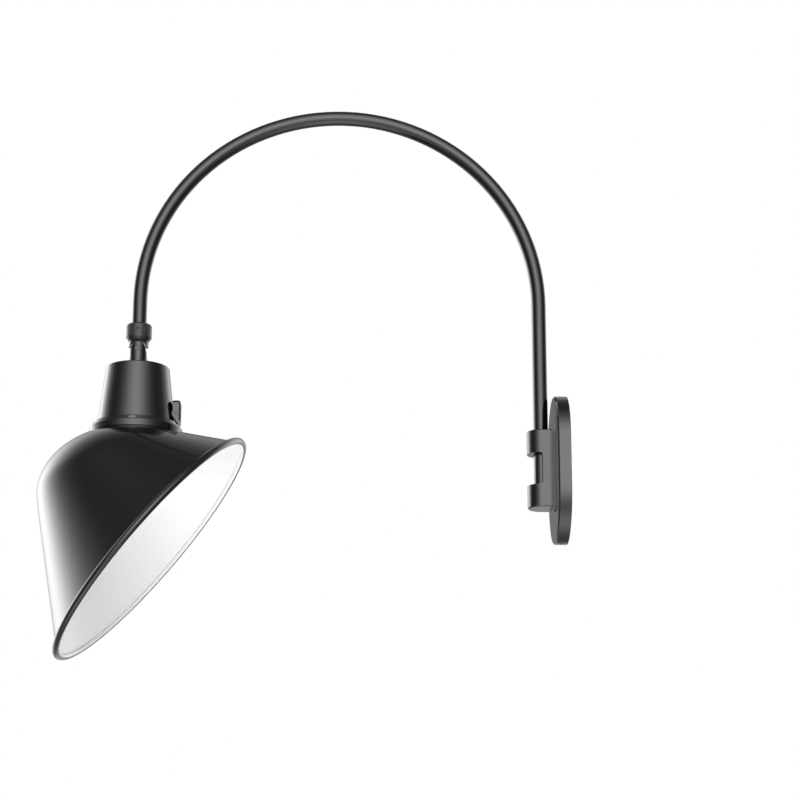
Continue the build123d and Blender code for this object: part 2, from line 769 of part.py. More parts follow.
# Stem lead: from the pivot down to the lampholder, round-ended where it bends with the tilt
with BuildPart() as stem_lead:
    with BuildSketch(head_plane(holder_top - holder_neck_height)):
        Circle(lead_radius)
    extrude(amount=pivot_z - holder_top + holder_neck_height)
    with Locations((0, arm_end_y, pivot_z)):
        Sphere(lead_radius)
stem_lead.part.label = "stem_lead"
export_step(stem_lead.part, "parts/stem_lead.step")


def cup_outline(inset, top, bottom):
    """Add the cup's tapered outline, inset from the outside, between two heights."""
    Polyline(
        (0, bottom),
        (cup_bottom_radius - inset, bottom),
        (cup_knee_radius - inset, cup_knee),
        (cup_top_radius - inset, top),
        (0, top),
        close=True,
    )


# Socket cup: a tapered shell with two lugs at the back for the thumb latch
with BuildPart() as socket_cup:
    with BuildSketch(side_plane(0)):
        with BuildLine():
            cup_outline(0, cup_top, cup_bottom)
        make_face()
    revolve(axis=Axis((0, arm_end_y, 0), (0, 0, 1)))
    fillet(socket_cup.faces().sort_by(Axis.Z)[-1].edges(), cup_corner)
    for side in (1, -1):
        lug_x = side * (latch_width / 2 - latch_sheet - hole_gap)
        with BuildSketch(Plane(origin=(lug_x, arm_end_y, 0), x_dir=(0, 1, 0), z_dir=(1, 0, 0))):
            with Locations((latch_pivot_y, latch_pivot_z)):
                Circle(latch_lug_radius)
            with Locations((latch_pivot_y / 2 + cup_top_radius / 2, latch_pivot_z)):
                Rectangle(latch_pivot_y - cup_top_radius, 2 * latch_lug_radius)
        extrude(amount=-side * latch_lug_thickness)
    with BuildSketch(side_plane(0)):
        with BuildLine():
            cup_outline(cup_wall, cup_top - cup_roof, cup_bottom)
        make_face()
    revolve(axis=Axis((0, arm_end_y, 0), (0, 0, 1)), mode=Mode.SUBTRACT)
    with BuildSketch(head_plane(cup_top - cup_roof)):
        Circle(stem_tail_radius + seat_gap)
    extrude(amount=cup_roof, mode=Mode.SUBTRACT)
    with BuildSketch(side_plane(-latch_width / 2)):
        with Locations((latch_pivot_y, latch_pivot_z)):
            Circle(latch_pin_radius + seat_gap)
    extrude(amount=latch_width, mode=Mode.SUBTRACT)
socket_cup.part.label = "socket_cup"
export_step(socket_cup.part, "parts/socket_cup.step")

# Lock nut: clamps the cup's roof to the stem's tail
with BuildPart() as lock_nut:
    with BuildSketch(head_plane(cup_top - cup_roof - lock_nut_height)):
        RegularPolygon(lock_nut_flats / 2, 6, major_radius=False)
        Circle(stem_tail_radius + seat_gap, mode=Mode.SUBTRACT)
    extrude(amount=lock_nut_height)
lock_nut.part.label = "lock_nut"
export_step(lock_nut.part, "parts/lock_nut.step")

# Lampholder: a moulded body on the stem's tail
holder_shoulder = holder_top - holder_neck_height
with BuildPart() as lampholder:
    with BuildSketch(head_plane(holder_bottom)):
        Circle(holder_radius)
    extrude(amount=holder_shoulder - holder_bottom)
    fillet(lampholder.faces().sort_by(Axis.Z)[-1].edges(), holder_edge)
    with BuildSketch(head_plane(holder_shoulder)):
        Circle(holder_neck_radius)
    extrude(amount=holder_neck_height)
    with BuildSketch(head_plane(holder_bottom)):
        Circle(shell_radius + seat_gap)
    extrude(amount=holder_shoulder - holder_floor - holder_bottom, mode=Mode.SUBTRACT)
    with BuildSketch(head_plane(cup_top - stem_tail_length)):
        Circle(stem_tail_radius + seat_gap)
    extrude(amount=stem_tail_length, mode=Mode.SUBTRACT)
    with BuildSketch(head_plane(holder_shoulder)):
        Circle(lead_radius + hole_gap)
    extrude(amount=holder_neck_height, mode=Mode.SUBTRACT)
    chamfer(lampholder.faces().sort_by(Axis.Z)[0].edges(), shell_wall)
lampholder.part.label = "lampholder"
export_step(lampholder.part, "parts/lampholder.step")

# Screw shell: the lampholder's threaded liner
holder_floor_z = holder_shoulder - holder_floor
with BuildPart() as screw_shell:
    with BuildSketch(head_plane(holder_floor_z - shell_length)):
        Circle(shell_radius)
    extrude(amount=shell_length)
    with BuildSketch(head_plane(holder_floor_z - shell_length)):
        Circle(shell_radius - shell_wall)
    extrude(amount=shell_length - shell_wall, mode=Mode.SUBTRACT)
    with BuildSketch(head_plane(holder_floor_z - shell_wall)):
        Circle(contact_radius + hole_gap)
    extrude(amount=shell_wall, mode=Mode.SUBTRACT)
screw_shell.part.label = "screw_shell"
export_step(screw_shell.part, "parts/screw_shell.step")

# Centre contact of the lampholder
with BuildPart() as centre_contact:
    with BuildSketch(head_plane(holder_floor_z - contact_height)):
        Circle(contact_radius)
    extrude(amount=contact_height)
    chamfer(centre_contact.faces().sort_by(Axis.Z)[0].edges(), shell_wall)
centre_contact.part.label = "centre_contact"
export_step(centre_contact.part, "parts/centre_contact.step")


def cup_inner_radius(z):
    """The cup's inner radius at height z, below its knee."""
    share = (z - cup_bottom) / (cup_knee - cup_bottom)
    return cup_bottom_radius + share * (cup_knee_radius - cup_bottom_radius) - cup_wall


# Bearing ring: screwed into the cup's mouth, it carries the shade collar's lip
with BuildPart() as bearing_ring:
    with BuildSketch(head_plane(ring_z)):
        Circle(cup_inner_radius(ring_z + ring_thickness) - seat_gap)
        Circle(collar_neck_radius + running_gap, mode=Mode.SUBTRACT)
    extrude(amount=ring_thickness)
bearing_ring.part.label = "bearing_ring"
export_step(bearing_ring.part, "parts/bearing_ring.step")

# Shade collar: a stepped ring that hangs in the cup and carries the shade
lip_bottom = ring_z + ring_thickness + running_gap
collar_lip_radius = cup_inner_radius(lip_bottom + collar_lip_thickness) - turning_gap
groove_half_angle = shade_turn_range + math.degrees(
    math.atan2(latch_foot_width / 2 + turning_gap, latch_foot_inner_y))
with BuildPart() as shade_collar:
    with BuildSketch(side_plane(0)):
        with BuildLine():
            Polyline(
                (collar_bore, band_bottom - spigot_length),
                (collar_bore + spigot_wall, band_bottom - spigot_length),
                (collar_bore + spigot_wall, shade_flange_z),
                (collar_seat_radius, shade_flange_z),
                (collar_seat_radius, band_bottom),
                (band_bottom_radius, band_bottom),
                (band_radius, band_z),
                (band_radius - running_gap, band_z + collar_step),
                (collar_tier_radius, collar_tier_z),
                (collar_top_radius, collar_top),
                (collar_neck_radius, collar_top),
                (collar_neck_radius, lip_bottom),
                (collar_lip_radius, lip_bottom),
                (collar_lip_radius, lip_bottom + collar_lip_thickness),
                (collar_bore, lip_bottom + collar_lip_thickness),
                close=True,
            )
        make_face()
    revolve(axis=Axis((0, arm_end_y, 0), (0, 0, 1)))
    with BuildSketch(head_plane(latch_groove_z)):
        with BuildLine():
            groove_start = 90 - groove_half_angle
            CenterArc((0, 0), latch_groove_inner, groove_start, 2 * groove_half_angle)
            CenterArc((0, 0), band_radius, groove_start, 2 * groove_half_angle)
            for angle in (math.radians(groove_start), math.radians(groove_start + 2 * groove_half_angle)):
                Line(
                    (latch_groove_inner * math.cos(angle), latch_groove_inner * math.sin(angle)),
                    (band_radius * math.cos(angle), band_radius * math.sin(angle)),
                )
        make_face()
    extrude(amount=collar_top - latch_groove_z, mode=Mode.SUBTRACT)
    with BuildSketch(side_plane(pad_inner)):
        with Locations((0, pad_bottom + pad_height / 2)):
            Rectangle(pad_width + 2 * seat_gap, pad_height + 2 * seat_gap)
    extrude(amount=band_radius - pad_inner, mode=Mode.SUBTRACT)
shade_collar.part.label = "shade_collar"
export_step(shade_collar.part, "parts/shade_collar.step")

# Index pad let into the collar's sloping face
with BuildPart() as index_pad:
    with BuildSketch(side_plane(pad_inner + seat_gap)):
        with Locations((0, pad_bottom + pad_height / 2)):
            Rectangle(pad_width, pad_height)
    extrude(amount=pad_outer - pad_inner)
    chamfer(index_pad.faces().sort_by(Axis.X)[-1].edges(), hole_gap)
index_pad.part.label = "index_pad"
export_step(index_pad.part, "parts/index_pad.step")

# Clamp ring: holds the shade's flange against the collar from inside
flange_under_z = shade_flange_z - shade_sheet
spigot_radius = collar_bore + spigot_wall
with BuildPart() as clamp_ring:
    with BuildSketch(head_plane(flange_under_z - clamp_ring_height)):
        Circle(spigot_radius + clamp_ring_width)
        Circle(spigot_radius + seat_gap, mode=Mode.SUBTRACT)
    extrude(amount=clamp_ring_height)
clamp_ring.part.label = "clamp_ring"
export_step(clamp_ring.part, "parts/clamp_ring.step")

# Latch lever: a folded thumb plate, hollow towards the cup, with a foot in the collar's groove
with BuildPart() as latch_lever:
    with BuildSketch(side_plane(-latch_width / 2)):
        with BuildLine():
            Polyline(
                (latch_top_inner_y, latch_top - latch_top_cut),
                (latch_top_inner_y + latch_top_cut, latch_top),
                (latch_outer_y, latch_top),
                (latch_outer_y, latch_bottom + latch_outer_y - latch_bottom_y),
                (latch_bottom_y, latch_bottom),
                (latch_low_inner_y, latch_low_inner_z),
                close=True,
            )
        make_face()
    extrude(amount=latch_width)
    upper_corners = latch_lever.edges().filter_by(Axis.Y).group_by(Axis.Z)[-1]
    fillet(upper_corners, latch_corner)
    chamfer(latch_lever.faces().sort_by(Axis.Y)[-1].edges(), latch_face_edge)
    with BuildSketch(side_plane(-latch_width / 2 + latch_sheet)):
        with BuildLine():
            Polyline(
                (latch_top_inner_y - latch_sheet, latch_top - latch_sheet),
                (latch_outer_y - latch_sheet, latch_top - latch_sheet),
                (latch_outer_y - latch_sheet, latch_bottom - latch_sheet),
                (latch_top_inner_y - latch_sheet, latch_bottom - latch_sheet),
                close=True,
            )
        make_face()
    extrude(amount=latch_width - 2 * latch_sheet, mode=Mode.SUBTRACT)
    with BuildSketch(head_plane(latch_pivot_z + latch_lug_radius)):
        Circle(cup_knee_radius + latch_press_gap)
    extrude(amount=latch_top - latch_pivot_z, mode=Mode.SUBTRACT)
    with BuildSketch(head_plane(latch_foot_z)):
        with Locations((0, (latch_foot_inner_y + latch_foot_outer_y) / 2)):
            Rectangle(latch_foot_width, latch_foot_outer_y - latch_foot_inner_y)
    extrude(amount=latch_low_inner_z - latch_foot_z)
    with BuildSketch(side_plane(-latch_width / 2)):
        with Locations((latch_pivot_y, latch_pivot_z)):
            Circle(latch_pin_radius + running_gap)
    extrude(amount=latch_width, mode=Mode.SUBTRACT)
    with BuildSketch(Plane(origin=(0, arm_end_y + latch_outer_y, latch_pivot_z), z_dir=(0, 1, 0))):
        Circle(latch_dimple_radius)
    extrude(amount=-latch_sheet / 2, mode=Mode.SUBTRACT)
latch_lever.part.label = "latch_lever"
export_step(latch_lever.part, "parts/latch_lever.step")

# Latch pin through the cup's lugs
with BuildPart() as latch_pin:
    with BuildSketch(side_plane(-latch_width / 2)):
        with Locations((latch_pivot_y, latch_pivot_z)):
            Circle(latch_pin_radius)
    extrude(amount=latch_width)
    chamfer(latch_pin.edges(), hole_gap)
latch_pin.part.label = "latch_pin"
export_step(latch_pin.part, "parts/latch_pin.step")

# Latch spring: a small coil round the pin, between the lugs
with BuildPart() as latch_spring:
    spring_start_x = -spring_turns * spring_pitch / 2
    with BuildLine() as spring_route:
        Helix(
            pitch=spring_pitch,
            height=spring_turns * spring_pitch,
            radius=spring_coil_radius,
            center=(spring_start_x, arm_end_y + latch_pivot_y, latch_pivot_z),
            direction=(1, 0, 0),
        )
    with BuildSketch(Plane(origin=spring_route.line @ 0, z_dir=spring_route.line % 0)):
        Circle(spring_wire_radius)
    sweep(path=spring_route.line, is_frenet=True)
latch_spring.part.label = "latch_spring"
export_step(latch_spring.part, "parts/latch_spring.step")

# Shade: dome and skirt outside, the same forms again inside, and a rolled bead at the rim
rim_lean = math.radians(rim_tilt)
rim_normal = (0, -math.sin(rim_lean), math.cos(rim_lean))
rim_uphill = (0, math.cos(rim_lean), math.sin(rim_lean))
rim_centre = (0, arm_end_y + rim_centre_y, rim_centre_z)
crease_lean = math.radians(crease_slope)
crease_normal = Vector(0, -math.sin(crease_lean), math.cos(crease_lean))
crease_uphill = Vector(0, math.cos(crease_lean), math.sin(crease_lean))


def reflector_form(inset, rim_inset, top_z):
    """The closed form of the reflector, inset from the outside: dome above the crease, skirt below."""
    radius = dome_radius - inset
    height = dome_half_height - inset
    # The crease plane cuts the spheroid in an ellipse, a little uphill or downhill of its centre
    along = (math.cos(crease_lean) / radius) ** 2 + (math.sin(crease_lean) / height) ** 2
    across = (math.sin(crease_lean) / radius) ** 2 + (math.cos(crease_lean) / height) ** 2
    mixed = math.sin(crease_lean) * math.cos(crease_lean) * (1 / height ** 2 - 1 / radius ** 2)
    slide = crease_offset * mixed / along
    scale = 1 - crease_offset ** 2 * across + slide ** 2 * along
    dome_centre = Vector(0, arm_end_y, dome_centre_z)
    ellipse_centre = dome_centre + crease_normal * crease_offset - crease_uphill * slide
    crease_plane = Plane(origin=ellipse_centre, x_dir=(1, 0, 0), z_dir=crease_normal)
    with BuildPart() as form:
        with BuildSketch(front_plane(arm_end_y)):
            with Locations((0, dome_centre_z)):
                Ellipse(height, radius, rotation=90)
                with Locations((radius, 0)):
                    Rectangle(2 * radius, 2 * radius, mode=Mode.SUBTRACT)
        revolve(axis=Axis((0, arm_end_y, 0), (0, 0, 1)))
        split(bisect_by=crease_plane, keep=Keep.TOP)
        with BuildSketch(crease_plane):
            Ellipse(radius * math.sqrt(scale), math.sqrt(scale / along))
        with BuildSketch(Plane(origin=rim_centre, x_dir=(1, 0, 0), z_dir=rim_normal)):
            Circle(rim_radius - rim_inset)
        loft(ruled=True)
        split(bisect_by=head_plane(top_z), keep=Keep.BOTTOM)
    return form.part


outer_form = reflector_form(0, 0, shade_flange_z)
inner_form = reflector_form(shade_sheet, rim_sheet, flange_under_z)
with BuildPart() as shade:
    add(outer_form)
    add(inner_form, mode=Mode.SUBTRACT)
    with BuildSketch(head_plane(flange_under_z)):
        Circle(spigot_radius + hole_gap)
    extrude(amount=shade_sheet, mode=Mode.SUBTRACT)
    with Locations(Plane(origin=rim_centre, x_dir=rim_uphill, z_dir=rim_normal)):
        Torus(rim_radius + bead_offset, bead_radius)
shade.part.label = "shade"
export_step(shade.part, "parts/shade.step")
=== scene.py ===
"""Swing arm wall lamp: finishes, the enamelled reflector, camera and studio."""
import json
import math

import bpy
from bpy.props import FloatProperty, FloatVectorProperty, IntProperty, PointerProperty
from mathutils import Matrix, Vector


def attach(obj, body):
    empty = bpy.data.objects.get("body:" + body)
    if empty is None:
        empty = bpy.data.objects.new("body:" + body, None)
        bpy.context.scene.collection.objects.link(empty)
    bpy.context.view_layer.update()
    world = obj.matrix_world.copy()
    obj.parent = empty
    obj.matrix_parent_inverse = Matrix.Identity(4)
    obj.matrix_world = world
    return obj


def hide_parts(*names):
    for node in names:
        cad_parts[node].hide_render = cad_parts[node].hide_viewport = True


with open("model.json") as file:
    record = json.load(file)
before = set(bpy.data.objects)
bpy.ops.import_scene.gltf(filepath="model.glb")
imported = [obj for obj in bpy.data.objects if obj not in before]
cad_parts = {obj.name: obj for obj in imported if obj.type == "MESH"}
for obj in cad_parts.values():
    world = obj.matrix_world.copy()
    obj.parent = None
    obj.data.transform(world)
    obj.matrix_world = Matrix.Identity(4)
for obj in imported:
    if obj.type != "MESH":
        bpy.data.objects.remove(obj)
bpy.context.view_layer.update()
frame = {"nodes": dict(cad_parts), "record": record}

bl_info = {
    "name": "Swing Arm Wall Lamp",
    "version": (1, 0, 0),
    "blender": (4, 5, 0),
    "location": "3D Viewport > Sidebar > Wall Lamp",
    "description": "Dresses the packed wall lamp: finishes, enamelled reflector and studio",
    "category": "Object",
}

# The reflector's mesh
DOME_RINGS = 22
POLE_SHARE = 0.985           # where the first ring lies, as a share of the dome's half height
ROUNDING_RINGS = 10
ROUNDING_REACH = 3           # how many of the dome's rings the rounding takes the place of
SKIRT_RINGS = 6
SKIRT_LENGTH = 0.165         # down its long side
FLANGE_EDGE_RADIUS = 0.0492  # the dome's radius where it is cut flat
MERGE_DISTANCE = 0.00002
SMOOTH_ANGLE = math.radians(40.0)
BEAD_SECTIONS = 32
START_RADIUS = 0.001         # of the small circle whose points give way to the rings

# Places in the world as azimuth, elevation and spread in degrees. Azimuth 0 is +X, towards the
# camera. Each soft light has the name of its setting first.
SOFT_LIGHTS = (
    ("front", 1.0, 0.0, 22.0),
    ("front", 1.0, 28.0, 22.0),
    ("left", -133.0, 13.0, 19.0),
    ("right", 143.0, 17.0, 22.0),
    ("low", 5.0, -76.0, 24.0),
)
DARK_GAP = (180.0, 18.0, 16.0)
DARK_GAP_DEPTH = 0.85
BACKDROP = (180.0, -8.0, 10.0)

SENSOR_WIDTH = 36.0          # millimetres
CLIP_END = 50.0
FLOOR_SIZE = 16.0
FILL_SIZE = (1.0, 1.2)
FILL_POWER = 10.0
FILL_PLACE = (0.15, -0.05)
FILL_ABOVE_FLOOR = 0.05

STEEL_BLACK = (0.012, 0.012, 0.012, 1.0)
# Painted shade: near black, put on the nut's pin to stand for the dark of its hole
PAINTED_HOLE_SHADE = (0.002, 0.002, 0.002, 1.0)
DULL_BLACK = (0.03, 0.03, 0.03, 1.0)
TERMINAL_WHITE = (0.80, 0.80, 0.77, 1.0)
FLOOR_GREY = (0.85, 0.85, 0.85, 1.0)
WHITE = (1.0, 1.0, 1.0, 1.0)

FINISH_OF_SLOT = {
    "shade_paint": "paint", "black_paint": "paint", "black_steel": "steel", "pad_grey": "pad",
    "zinc_steel": "zinc", "spring_steel": "zinc", "brass": "brass", "washer_nylon": "nylon",
    "lead_sheath": "sheath", "rubber": "sheath",
    "terminal_plastic": "terminal", "holder_plastic": "holder",
}
# Nodes whose visible ends are dark, whatever their slot says: the latch pin is painted over, the
# bushes get the blackened steel finish, and the nut's pin carries painted shade, near black like
# the dark of the hole it sits in
FINISH_OF_NODE = {
    "latch_pin": "paint", "nut_pin": "painted_shade", "upper_bush": "steel", "lower_bush": "steel",
}


def colour(name, description, default):
    return FloatVectorProperty(
        name=name, description=description, subtype="COLOR", size=4,
        default=(*default, 1.0), min=0.0, max=1.0)


def length(name, description, default):
    return FloatProperty(
        name=name, description=description, subtype="DISTANCE", unit="LENGTH", default=default)


def share(name, description, default):
    return FloatProperty(
        name=name, description=description, subtype="FACTOR", default=default, min=0.0, max=1.0)


def angle(name, description, degrees):
    return FloatProperty(
        name=name, description=description, subtype="ANGLE", default=math.radians(degrees))


def brightness(name, description, default):
    return FloatProperty(name=name, description=description, default=default)


class LampFinishes(bpy.types.PropertyGroup):
    """Colours and gloss of the lamp's finishes."""

    paint: colour("Paint", "Black paint of the metal parts", (0.003, 0.003, 0.0031))
    paint_gloss: share("Paint roughness", "Roughness of the black paint", 0.12)
    enamel: colour("Enamel", "White enamel inside the shade", (0.84, 0.84, 0.84))
    enamel_gloss: share("Enamel roughness", "Roughness of the white enamel", 0.32)
    pad: colour("Index pad", "Grey pad on the shade collar", (0.17, 0.17, 0.17))
    zinc: colour("Zinc", "Bright zinc plate of hidden steel parts", (0.62, 0.62, 0.60))
    brass: colour(
        "Brass", "Brass of the contacts, the ferrule and the earth screw", (0.78, 0.60, 0.30))
    nylon: colour("Nylon", "Natural nylon of the washers", (0.80, 0.79, 0.74))


class ReflectorSizes(bpy.types.PropertyGroup):
    """Sizes of the enamelled reflector, in the lamp's own frame."""

    axis_y: length("Axis", "Where the head's axis stands, out from the wall", -0.465)
    dome_radius: length("Dome radius", "Widest radius of the dome's spheroid", 0.103)
    dome_height: length("Dome half height", "Half height of the dome's spheroid", 0.076)
    dome_z: length("Dome centre", "Height of the spheroid's centre", -0.0325)
    crease_slope: angle("Crease slope", "Slope of the plane where dome and skirt meet", 27.3)
    crease_offset: length(
        "Crease offset", "Distance of that plane from the spheroid's centre", 0.0389)
    crease_width: length("Crease width", "How far the rounding reaches down the skirt", 0.035)
    flange_z: length("Flange height", "Height of the flat flange under the collar", 0.0342)
    flange_radius: length("Flange bore", "Radius of the hole in the flange", 0.0387)
    sheet: length("Sheet", "Thickness of the spun sheet", 0.0015)
    rim_radius: length("Rim radius", "Radius of the rim", 0.1473)
    rim_y: length("Rim centre Y", "Rim centre, towards the wall from the axis", 0.0201)
    rim_z: length("Rim centre Z", "Height of the rim's centre", -0.0898)
    rim_tilt: angle("Rim tilt", "Tilt of the rim's plane", 50.0)
    bead_circle: length("Bead circle", "Radius of the circle along the bead's middle", 0.1481)
    bead_radius: length("Bead radius", "Radius of the rolled bead", 0.00365)
    enamel_edge: angle("Enamel edge", "How far round the bead the white enamel reaches", 57.0)
    segments: IntProperty(
        name="Segments", description="Divisions round the reflector", default=192, min=24)


class StudioSettings(bpy.types.PropertyGroup):
    """Camera, surroundings and floor."""

    camera_place: FloatVectorProperty(
        name="Camera", description="Where the camera stands", subtype="TRANSLATION", size=3,
        default=(2.33967, -0.26390, -0.56653))
    pitch: FloatProperty(
        name="Pitch", description="How far the camera looks up", subtype="ANGLE", default=0.2684)
    yaw: FloatProperty(
        name="Yaw", description="How far the camera turns aside", subtype="ANGLE", default=0.0359)
    lens: FloatProperty(
        name="Lens", description="Focal length in millimetres on a 36 mm sensor", default=100.47)
    room: share("Room level", "Brightness of the dark side of the room", 0.14)
    front: brightness("Front light", "Peak of the soft light near the camera", 3.1)
    left: brightness("Left light", "Peak of the soft light left of the backdrop", 4.8)
    right: brightness("Right light", "Peak of the soft light right of the backdrop", 2.3)
    low: brightness("Low light", "Peak of the soft light under the lamp", 2.5)
    soft_share: share(
        "Diffuse share", "How much of the surroundings' brightness reaches matt surfaces", 0.35)
    floor_lift: share("Floor lift", "How much paler the floor looks to the camera", 0.4)
    floor_z: length("Floor height", "Height of the pale floor", -0.9)


class Wire:
    """A shader socket that takes part in Python sums, so that shader maths reads as maths."""

    def __init__(self, bench, socket):
        self.bench = bench
        self.socket = socket

    def _math(self, operation, left, right):
        return self.bench.node("ShaderNodeMath", {"operation": operation}, {0: left, 1: right})

    def __add__(self, other):
        return self._math("ADD", self, other)

    def __radd__(self, other):
        return self._math("ADD", other, self)

    def __sub__(self, other):
        return self._math("SUBTRACT", self, other)

    def __rsub__(self, other):
        return self._math("SUBTRACT", other, self)

    def __mul__(self, other):
        return self._math("MULTIPLY", self, other)

    def __rmul__(self, other):
        return self._math("MULTIPLY", other, self)

    def __rpow__(self, other):
        return self._math("POWER", other, self)

    def at_least(self, other):
        return self._math("MAXIMUM", self, other)


class Bench:
    """A node tree under construction, with one method that makes any node."""

    def __init__(self, tree):
        self.tree = tree

    def node(self, kind, settings=None, inputs=None, output=0):
        made = self.tree.nodes.new(kind)
        for name, value in (settings or {}).items():
            setattr(made, name, value)
        for key, value in (inputs or {}).items():
            if isinstance(value, Wire):
                self.tree.links.new(value.socket, made.inputs[key])
            else:
                made.inputs[key].default_value = value
        return Wire(self, made.outputs[output])

    def ray(self, kind):
        return self.node("ShaderNodeLightPath", output=f"Is {kind} Ray")


class Finish(Bench):
    """A material under construction."""

    def __init__(self, name, **constants):
        self.material = bpy.data.materials.new(name)
        self.material.use_nodes = True
        super().__init__(self.material.node_tree)
        self.shader = self.tree.nodes["Principled BSDF"]
        for socket, value in constants.items():
            self.shader.inputs[socket.replace("_", " ")].default_value = value

    def noise(self, scale, detail=2.0):
        place = self.node("ShaderNodeTexCoord", output="Object")
        return self.node(
            "ShaderNodeTexNoise", {}, {"Vector": place, "Scale": scale, "Detail": detail})

    def feed(self, socket, wire):
        self.tree.links.new(wire.socket, self.shader.inputs[socket])

    def uneven_gloss(self, roughness, spread, scale):
        self.feed("Roughness", roughness - spread / 2 + spread * self.noise(scale, detail=3.0))

    def relief(self, height, strength, depth):
        bump = self.node(
            "ShaderNodeBump", {}, {"Height": height, "Strength": strength, "Distance": depth})
        self.feed("Normal", bump)


def black_paint(name, paint, roughness):
    """Semi-gloss black powder coat: a faint orange peel and slightly uneven gloss."""
    finish = Finish(name, Base_Color=paint)
    finish.uneven_gloss(roughness, spread=0.04, scale=14.0)
    finish.relief(finish.noise(scale=420.0), strength=0.08, depth=0.00012)
    return finish.material


def white_enamel(tint, roughness):
    """White enamel of the reflector's inside, with a soft waviness."""
    finish = Finish("White enamel", Base_Color=tint)
    finish.uneven_gloss(roughness, spread=0.06, scale=20.0)
    finish.relief(finish.noise(scale=120.0), strength=0.05, depth=0.0002)
    return finish.material


def moulded(name, tint, roughness):
    """Moulded plastic or rubber with a fine dull grain."""
    finish = Finish(name, Base_Color=tint)
    finish.uneven_gloss(roughness, spread=0.1, scale=60.0)
    finish.relief(finish.noise(scale=1500.0), strength=0.1, depth=0.00008)
    return finish.material


def machined(name, tint, roughness):
    """Bare or plated metal with fine tool marks."""
    finish = Finish(name, Base_Color=tint, Metallic=1.0)
    finish.uneven_gloss(roughness, spread=0.14, scale=90.0)
    finish.relief(finish.noise(scale=900.0, detail=4.0), strength=0.12, depth=0.00005)
    return finish.material


def painted_hole_shade_finish():
    """Painted shade of a small hole, put on the part that sits in it: no gloss and almost no
    colour.
    """
    return Finish(
        "Painted hole shade", Base_Color=PAINTED_HOLE_SHADE, Roughness=0.9, Specular_IOR_Level=0.05).material


class LAMP_OT_finishes(bpy.types.Operator):
    """Give every CAD node the finish of its material slot"""

    bl_idname = "lamp.finishes"
    bl_label = "Finishes"

    def execute(self, context):
        tints = context.scene.lamp_finishes
        made = {
            "paint": black_paint("Black paint", tints.paint, tints.paint_gloss),
            "steel": black_paint("Blackened steel", STEEL_BLACK, roughness=0.3),
            # painted shade for the nut's pin, standing for the dark of its hole
            "painted_shade": painted_hole_shade_finish(),
            "pad": moulded("Pad grey", tints.pad, roughness=0.45),
            "zinc": machined("Zinc plate", tints.zinc, roughness=0.34),
            "brass": machined("Turned brass", tints.brass, roughness=0.3),
            "nylon": moulded("Nylon", tints.nylon, roughness=0.5),
            "sheath": moulded("Black sheath", DULL_BLACK, roughness=0.6),
            "terminal": moulded("Terminal white", TERMINAL_WHITE, roughness=0.45),
            "holder": moulded("Holder black", DULL_BLACK, roughness=0.4),
        }
        for row in frame["record"]["subparts"]:
            materials = frame["nodes"][row["node"]].data.materials
            of_slot = FINISH_OF_SLOT[row["material_slot"]]
            materials.clear()
            materials.append(made[FINISH_OF_NODE.get(row["node"], of_slot)])
        return {"FINISHED"}


class Ring:
    """An ellipse across X: its centre in YZ, half width along X and uphill half axis in YZ."""

    def __init__(self, numbers):
        self.numbers = tuple(numbers)

    def mix(self, other, part):
        return Ring(a + (b - a) * part for a, b in zip(self.numbers, other.numbers))

    def moved(self, start, end):
        return Ring(a + c - b for a, b, c in zip(self.numbers, start.numbers, end.numbers))

    def add(self, segments):
        y, z, half_x, up_y, up_z = self.numbers
        half_up = math.hypot(up_y, up_z)
        bpy.ops.mesh.primitive_circle_add(
            vertices=segments, radius=half_up, fill_type="NOTHING", location=(0.0, y, z),
            rotation=(math.atan2(up_z, up_y), 0.0, 0.0))
        bpy.ops.transform.resize(value=(half_x / half_up, 1.0, 1.0), center_override=(0.0, y, z))


def dome_section(sizes, slope, offset):
    """The ring where a plane of that slope and distance from its centre cuts the spheroid."""
    sine, cosine = math.sin(slope), math.cos(slope)
    along = (cosine / sizes.dome_radius) ** 2 + (sine / sizes.dome_height) ** 2
    across = (sine / sizes.dome_radius) ** 2 + (cosine / sizes.dome_height) ** 2
    mixed = sine * cosine * (1 / sizes.dome_height ** 2 - 1 / sizes.dome_radius ** 2)
    slide = offset * mixed / along
    scale = 1 - offset ** 2 * across + slide ** 2 * along
    half_up = math.sqrt(scale / along)
    return Ring((
        sizes.axis_y - sine * offset - cosine * slide,
        sizes.dome_z + cosine * offset - sine * slide,
        sizes.dome_radius * math.sqrt(scale), cosine * half_up, sine * half_up))


def dome_rings(sizes):
    """Rings that turn from level near the dome's pole to the slope of the crease."""
    pole_offset = POLE_SHARE * sizes.dome_height
    rings = []
    for step in range(DOME_RINGS):
        part = step / DOME_RINGS
        normal_y = -math.sin(sizes.crease_slope) * part
        normal_z = 1 - part + math.cos(sizes.crease_slope) * part
        size = math.hypot(normal_y, normal_z)
        offset = (pole_offset * (1 - part) + sizes.crease_offset * part) / size
        rings.append(dome_section(sizes, math.atan2(-normal_y, normal_z), offset))
    return rings


